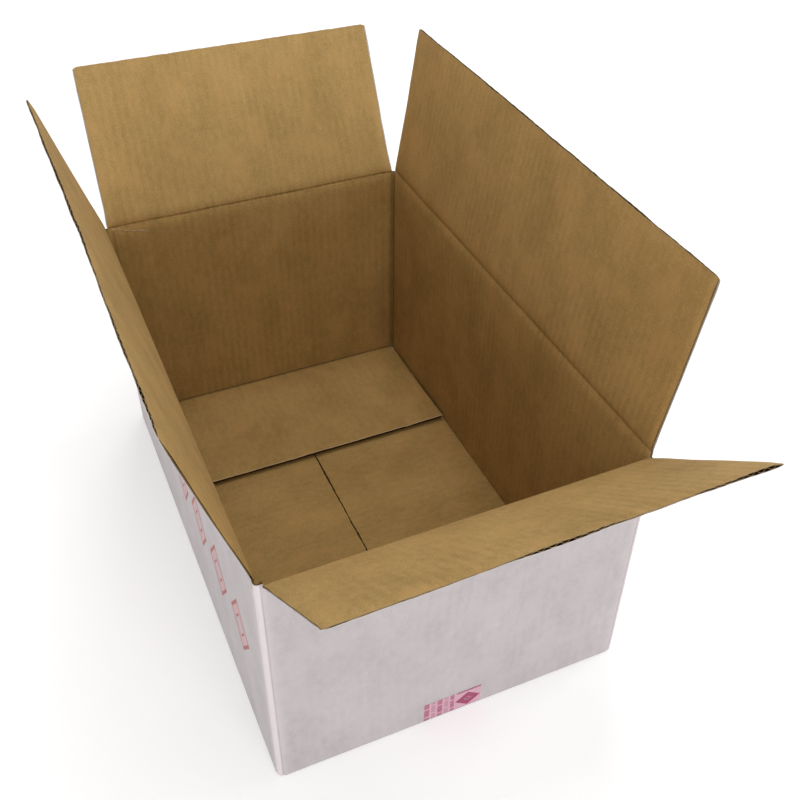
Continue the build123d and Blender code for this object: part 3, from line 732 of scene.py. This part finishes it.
def build_floor(kind):
    sh = Sheet()
    for name in (("left", "right") if kind == "side" else ("front", "back")):
        p = PANELS[name]
        seed = {"left": 500, "right": 520, "front": 540, "back": 560}[name]
        end = {"left": HW - 0.65, "right": HW + 0.55}.get(name, END_REACH)
        outer, inner, run, length = floor_path(kind, end)
        along = np.r_[0, np.cumsum(np.hypot(*np.diff(inner, axis=0).T))]
        cols = columns(p, 3)

        def at(rows, u, d, ds=0.0):
            """Points at the given rows (whole or part numbers) and depths, moved ds towards the free edge."""
            i = np.clip(np.floor(rows).astype(int), 0, len(outer) - 2)
            f = (rows - i)[..., None]
            o, n = outer[i] * (1 - f) + outer[i + 1] * f, inner[i] * (1 - f) + inner[i + 1] * f
            k = (d / BOARD)[..., None]
            q = o * (1 - k) + n * k
            r = run[i] * (1 - f[..., 0]) + run[i + 1] * f[..., 0]
            e = p["outer"] - np.abs(u)
            q[..., 0] -= 0.42 * np.exp(-np.maximum(e - 3.9, 0) / 4.2) * (1 - k[..., 0]) * ease((q[..., 1] - 0.4) / 2.5) * (r <= 0)
            return place(p, q[..., 0] - ds - BOARD - GAP, u, q[..., 1] + curl(name, r, u)), r

        def crush(r, u):
            tip = length - r
            k = 1 - (1 - np.clip((0.97 if kind == "end" else 0.80) + 0.12 * wob(u, 21.0, seed) + 0.08 * wob(u, 6.0, seed + 1), 0.5, 1)) * np.exp(-((tip / 4.0) ** 2))
            return BOARD * (1 - k * (1 - 0.22 * np.exp(-(((p["half"] - np.abs(u)) / 2.2) ** 2)) * np.clip(r / 6, 0, 1)))

        R, U = np.meshgrid(np.arange(len(outer), dtype=float), cols, indexing="ij")
        r = run[R.astype(int)]
        lost = crush(r, U)
        d_out, d_in = 0.35 * lost, BOARD - 0.65 * lost
        rag = np.exp(-((length - r) / 1.4)) * (r > 0)
        uv = np.stack([U + p["u0"], LOW_JOIN - along[R.astype(int)]], -1)
        back, raw = (0.7, 0.0) if kind == "end" else (0.0, 0.62)
        torn = 0.16 * wob(U, 7.0, seed + 7) + 0.12 * wob(U, 2.4, seed + 8)
        si = rag * (torn * (2.0 if kind == "side" else 1.0) - raw)
        so = rag * (0.05 * wob(U, 7.0, seed + 5) + 0.04 * wob(U, 2.4, seed + 6) - back)
        face = np.full((R.shape[0] - 1, R.shape[1] - 1), KRAFT)
        # painted highlight: the end flaps' last strip at the free edge takes the pale torn-kraft colour, for the light
        # the cut edge catches
        if kind == "end":
            face[-1] = TORN
        sh.slab(at(R, U, d_in, si)[0], at(R, U, d_in - LINER, si)[0], uv, face, CORE_SHADE, CUT)
        sh.slab(at(R, U, d_out, so)[0], at(R, U, d_out + LINER, so)[0], uv, WHITE, CORE_SHADE, CORE_SHADE)
        # the medium, from a little way past the fold to just short of the cut
        first = float(np.argmax(run >= 3.0))
        rows_m = np.concatenate([[first], np.arange(first + 2, len(outer) - 1, 1.0), [len(outer) - 1.0]])
        half = p["half"] - 0.4
        cols_m = np.linspace(-half, half, p["flutes"] * 8 + 1)
        R2, U2 = np.meshgrid(rows_m, cols_m, indexing="ij")
        r2 = run[R2.astype(int)]
        lost = crush(r2, U2)
        lo, hi = 0.35 * lost + LINER + 0.02, BOARD - 0.65 * lost - LINER - 0.02
        wave = np.tanh(1.7 * np.cos(2 * np.pi * U2 / PITCH)) / math.tanh(1.7)
        mid = (lo + hi) / 2 + np.maximum((hi - lo - MEDIUM) / 2, 0.02) * wave
        sm = -(0.6 if kind == "end" else 0.9) * np.exp(-((length - r2) / 1.4))
        uvm = np.stack([U2 + p["u0"], LOW_JOIN - along[R2.astype(int)]], -1)
        sh.slab(at(R2, U2, mid + MEDIUM / 2, sm)[0], at(R2, U2, mid - MEDIUM / 2, sm)[0], uvm, CORE_SHADE, CORE_SHADE, CORE_SHADE)
    ob = sh.make("bottom_%s_flaps" % kind, SHEET)
    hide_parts("carton_body")
    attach(ob, "carton")
    return ob


def curl(name, r, u):
    """How far a bottom flap lifts off what it lies on: the end flaps spring up a little, most at one free corner."""
    f = np.clip(r / END_REACH, 0, 1) ** 1.7
    if name == "back":
        return f * (2.8 + 1.0 * np.exp(-((u + HW) / 26.0)) + 0.25 * np.exp((u - HW) / 30.0) + 0.12 * wob(u, 30.0, 590))
    if name == "front":
        return f * (1.4 + 0.15 * wob(u, 30.0, 591))
    return np.zeros(np.broadcast(r, u).shape)


build_floor("side")
build_floor("end")


# ---- glue tab: the left wall carried on round the corner and glued to the back wall --------
def build_tab():
    p = PANELS["back"]
    sh = Sheet()
    # u runs from the corner (u = +120 on the back panel) towards the middle
    w = np.array([0.0, 0.8, 2.0, 4.0, 7.0, 11.0, 16.0, 21.0, 25.5, 28.5, 29.8, 30.5, 31.0])
    f = np.array([0.0, 0.004, 0.009, 0.016, 0.03, 0.06, 0.12, 0.2, 0.3, 0.4, 0.5, 0.6, 0.7, 0.8, 0.88, 0.94, 0.97, 0.985, 0.993, 0.997, 1.0])
    F, W = np.meshgrid(f, w, indexing="ij")
    low = 8.9 + 11.4 * W / 31.0
    high = np.minimum(187.5, 189.4 - 8.6 * W / 31.0) + 0.25 * wob(W, 3.5, 900) + 0.15 * wob(W, 1.3, 901)
    Z = low + (high - low) * F
    edge = 31.0 + 0.30 * wob(Z, 26.0, 902) + 0.12 * wob(Z, 4.0, 903)
    U = 120.0 - W * edge / 31.0
    off_edge = np.minimum(31.0 - W, np.minimum(Z - low, high - Z))
    off_top = np.clip((high - Z) / 9.0, 0, 1)
    thick = 1.15 * (0.25 + 0.75 * ease(off_edge / 2.6)) * (0.22 + 0.78 * ease(off_top)) + 0.08 * wob2(U, Z, 14.0, 40.0, 904)
    give = press(p, Z - p["rim"], U)
    n_back = -BOARD - GAP + 0.25 + give
    n_face = -BOARD - GAP + give - np.clip(thick, 0.22, 1.6)
    uv = np.stack([945.0 - HL - W, Z], -1)
    uv[..., 0] = 945.0 - HL - 3.0 - W
    sh.slab(place(p, n_face, U, Z), place(p, n_back, U, Z), uv, KRAFT, CORE_SHADE, CUT)
    # the torn white skin standing along its upper edge
    w2 = np.linspace(4.5, 30.6, 60)
    top = np.minimum(187.5, 189.4 - 8.6 * w2 / 31.0)
    t = np.array([0.0, 0.5, 1.0])
    T, W2 = np.meshgrid(t, w2, indexing="ij")
    amp = 1.25 * np.clip(wob(w2, 3.1, 910) + 0.35 * wob(w2, 1.1, 911) + 0.25, 0.02, 1.2) * np.clip((w2 - 3) / 6, 0, 1)
    Zt = top[None, :] - 0.2 + T * (0.4 + amp[None, :])
    U2 = 120.0 - W2
    nf = -BOARD - GAP + press(p, Zt - p["rim"], U2) - 0.30 - 0.45 * T * (amp[None, :] > 0.1) - 0.12 * wob(W2, 2.2, 912)
    uv2 = np.stack([945.0 - HL - 3.0 - W2, Zt], -1)
    sh.slab(place(p, nf, U2, Zt), place(p, nf + 0.18, U2, Zt), uv2, TORN, TORN, TORN)
    ob = sh.make("glue_tab_board", SHEET)
    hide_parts("carton_body")
    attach(ob, "carton")


build_tab()


# ---- the tape ------------------------------------------------------------------------------
def tape_material():
    g = Nodes("printed_film")
    at = g.xyz(g.uv())
    u, v = at[0], at[1]                # u across the strip from -24 to 24, v along it, 0 at the front fold and + up the wall
    # the print repeats along the strip: columns of small marks, heavy and light by turns, then a large lozenge
    rep = g.math("SUBTRACT", g.math("FRACT", g.math("ADD", g.math("DIVIDE", v, 46.0), 0.28)), 0.5)
    rep = g.math("MULTIPLY", rep, 46.0)
    rub = g.math("MULTIPLY", g.math("SUBTRACT", g.noise(g.uv(1000 / 1.6, 1000 / 1.6, 7.0, 3.0), 1.0, 2.0), 0.5), 0.8)
    inside = g.math("MULTIPLY", g.math("GREATER_THAN", u, -20.3), g.math("LESS_THAN", u, 21.2))
    col_id = g.math("DIVIDE", g.math("ADD", u, 20.3), 4.7)
    col_f = g.math("FRACT", col_id)
    heavy = g.math("LESS_THAN", g.math("FRACT", g.math("MULTIPLY", col_id, 0.5)), 0.5)
    wide = g.math("ADD", g.math("MULTIPLY", heavy, 0.14), 0.62)
    in_col = g.math("LESS_THAN", off(g, col_f, 0.45), g.math("MULTIPLY", wide, 0.5))
    mark_len = g.math("ADD", g.math("MULTIPLY", heavy, 0.95), 0.85)
    mark = g.math("FRACT", g.math("DIVIDE", g.math("ADD", v, g.math("MULTIPLY", rub, 0.3)), mark_len))
    in_mark = g.math("LESS_THAN", mark, g.math("ADD", g.math("MULTIPLY", heavy, 0.14), 0.60))
    gap_row = g.math("LESS_THAN", g.math("FRACT", g.math("DIVIDE", g.math("ADD", v, g.math("MULTIPLY", heavy, 3.0)), 9.0)), 0.84)
    left = g.math("LESS_THAN", u, 1.6)
    strength = g.math("ADD", g.math("MULTIPLY", heavy, 0.40), 0.55)
    marks = g.math("MULTIPLY", g.math("MULTIPLY", g.math("MULTIPLY", in_col, in_mark), g.math("MULTIPLY", gap_row, left)), strength)
    du, dv = g.math("DIVIDE", off(g, g.math("ADD", u, g.math("MULTIPLY", rub, 0.5)), 11.6), 9.4), g.math("DIVIDE", off(g, rep, 0.0), 7.4)
    loz = g.math("ADD", du, dv)
    big = g.math("LESS_THAN", loz, 0.98)
    eye = g.math("MULTIPLY", g.math("GREATER_THAN", loz, 0.20), g.math("LESS_THAN", loz, 0.30))
    big = g.math("MULTIPLY", big, g.math("SUBTRACT", 1.0, g.math("MULTIPLY", eye, 0.6)))
    bars = g.math("MULTIPLY", g.math("LESS_THAN", off(g, g.math("ABSOLUTE", rep), 9.6), 0.8), g.math("GREATER_THAN", u, 3.4))
    bold = g.math("MAXIMUM", big, bars)
    ink = g.math("MULTIPLY", g.math("MAXIMUM", marks, bold), inside)
    patch = g.ramp(g.noise(g.uv(1000 / 1.3, 1000 / 1.3, 2.0, 6.0), 1.0, 3.0), 0.25, 0.50, 0.70, 1.0)
    ink = g.math("MULTIPLY", ink, patch)
    base = g.mix(inside, (0.80, 0.76, 0.76), (0.84, 0.49, 0.62))
    col = g.mix(ink, base, (0.33, 0.008, 0.085))
    alpha = g.math("ADD", 0.12, g.math("MULTIPLY", inside, 0.56))
    alpha = g.math("MAXIMUM", alpha, g.math("MULTIPLY", ink, 0.97))
    wrinkle = g.noise(g.uv(1000 / 7.0, 1000 / 2.2, 1.0, 1.0), 1.0, 3.0, 0.6, 0.8)
    g.set(Base_Color=col, Alpha=alpha, Normal=g.bump(wrinkle, 0.5, 0.0004))
    g.bsdf.inputs["Roughness"].default_value = 0.22
    g.bsdf.inputs["Specular IOR Level"].default_value = 0.5
    g.mat.surface_render_method = "BLENDED"
    return g.mat


def build_tape():
    sh = Sheet()
    yo = HL + BOARD
    # path of the strip in (y, z), from its front end down, under the box and up the back, just off the board
    path = [(-yo - 0.035, 20.5), (-yo - 0.035, 19.6), (-yo - 0.035, 18.6), (-yo - 0.035, 15.0), (-yo - 0.035, 10.0), (-yo - 0.035, 6.0), (-yo - 0.035, 3.4), (-yo - 0.02, 2.0), (-yo + 0.35, 1.05), (-yo + 1.0, 0.45), (-yo + 1.9, 0.14), (-yo + 4.0, 0.06)]
    path += [(y, 0.06) for y in np.linspace(-yo + 20, yo - 20, 30)]
    back = [(-y, z) for y, z in path[:12]][::-1]
    lift = 34.0 - 20.5
    back = [(y, z) for y, z in back[:7]] + [(yo + 0.035, 12.0), (yo + 0.035, 20.0), (yo + 0.035, 27.0), (yo + 0.035, 32.1), (yo + 0.035, 33.1), (yo + 0.035, 34.0)]
    path += back
    path = np.array(path)
    d = np.r_[0, np.cumsum(np.hypot(*np.diff(path, axis=0).T))]
    v = 20.5 - d                       # 20.5 at the front end, falling along the strip
    cross = np.linspace(-24.0, 24.0, 97)
    V, X = np.meshgrid(v, cross, indexing="ij")
    Y = np.repeat(path[:, :1], len(cross), 1)
    Z = np.repeat(path[:, 1:], len(cross), 1)
    # the dispenser's teeth cut both ends
    teeth = np.abs(((cross / 2.0) % 1.0) - 0.5) * 2 * 0.8
    Z[0] -= teeth + 0.15 * wob(cross, 3.0, 950)
    Z[1] -= 0.4
    Z[-1] -= 0.8 - teeth
    A = np.stack([X - 2.6, Y, Z], -1)
    # outward direction of the film, for its thickness and its small blisters along the fold
    t = np.gradient(path, axis=0)
    out = np.stack([t[:, 1], -t[:, 0]], -1)
    out /= np.linalg.norm(out, axis=1)[:, None]
    out = np.where(out[:, :1] * path[:, :1] + out[:, 1:] * (path[:, 1:] - 90) < 0, -out, out)
    blister = 0.022 + 0.09 * np.abs(wob2(X, V, 6.0, 3.0, 951)) * bump(np.abs(Y), yo, 1.2)
    B = A + np.stack([0 * X, out[:, :1] * blister, out[:, 1:] * blister], -1)
    B[..., 2] = np.maximum(B[..., 2], 0.012)
    sh.slab(out_of_square(B), out_of_square(A), np.stack([X, V], -1), 0, 0, 0)
    ob = sh.make("seam_tape_film", [tape_material()], sharp=60)
    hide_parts("seam_tape")
    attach(ob, "carton")


build_tape()


# ---- floor, light and camera ---------------------------------------------------------------
scene = bpy.context.scene
scene.view_settings.view_transform = "Standard"
scene.view_settings.look = "None"

g = Nodes("studio_floor")
g.set(Base_Color=(0.86, 0.86, 0.86, 1.0))
g.bsdf.inputs["Roughness"].default_value = 0.75
g.bsdf.inputs["Emission Color"].default_value = (1.0, 1.0, 1.0, 1.0)
g.bsdf.inputs["Emission Strength"].default_value = 0.30
g.bsdf.inputs["Specular IOR Level"].default_value = 0.2
bm = bmesh.new()
bmesh.ops.create_grid(bm, x_segments=2, y_segments=2, size=9.0)
mesh = bpy.data.meshes.new("studio_floor")
bm.to_mesh(mesh)
bm.free()
mesh.materials.append(g.mat)
floor = bpy.data.objects.new("studio_floor", mesh)
floor.location = (0, 0, -0.0002)
scene.collection.objects.link(floor)

world = bpy.data.worlds.new("studio")
world.use_nodes = True
bg = world.node_tree.nodes["Background"]
bg.inputs[0].default_value = (1.0, 0.985, 0.97, 1.0)
bg.inputs[1].default_value = 0.36
scene.world = world


def area(name, size, power, at, aim, colour=(1, 1, 1)):
    light = bpy.data.lights.new(name, "AREA")
    light.shape = "RECTANGLE"
    light.size, light.size_y = size
    light.energy, light.color = power, colour
    ob = bpy.data.objects.new(name, light)
    ob.location = at
    ob.rotation_mode = "QUATERNION"
    from mathutils import Vector
    ob.rotation_quaternion = (Vector(aim) - Vector(at)).to_track_quat("-Z", "Y")
    scene.collection.objects.link(ob)


area("top", (1.0, 1.0), 11.6, (0.0, 0.0, 2.2), (0, 0, 0.1), (1.0, 0.99, 0.975))
area("front", (1.8, 1.2), 8.0, (0.0, -2.4, 1.2), (0, 0, 0.15), (1.0, 0.99, 0.99))
area("front_high", (1.2, 1.2), 7.8, (-0.2, -1.7, 2.0), (0, 0, 0.15), (1.0, 0.99, 0.98))
area("front_low", (2.4, 0.5), 9.0, (0.0, -2.8, 0.45), (0, 0, 0.15), (1.0, 0.99, 0.99))
area("side_left", (1.2, 1.2), 9.6, (-2.2, -0.6, 1.0), (0, 0, 0.15), (1.0, 0.99, 0.98))
area("side_right", (1.2, 1.2), 14.6, (2.2, 0.0, 1.4), (0, 0, 0.15), (1.0, 0.99, 0.975))
area("behind", (1.2, 1.2), 13.6, (0.9, 1.8, 1.8), (0, 0, 0.15), (1.0, 0.99, 0.975))

camera = bpy.data.cameras.new("camera")
camera.sensor_width = 36.0
camera.lens = 45.6117
camera.clip_start, camera.clip_end = 0.01, 50.0
cam = bpy.data.objects.new("camera", camera)
cam.location = (-0.193199, -0.516102, 0.604139)
cam.rotation_mode = "QUATERNION"
cam.rotation_quaternion = Quaternion((0.8906711, 0.4043434, -0.0918386, -0.1864861))
scene.collection.objects.link(cam)
scene.camera = cam

bpy.context.view_layer.update()
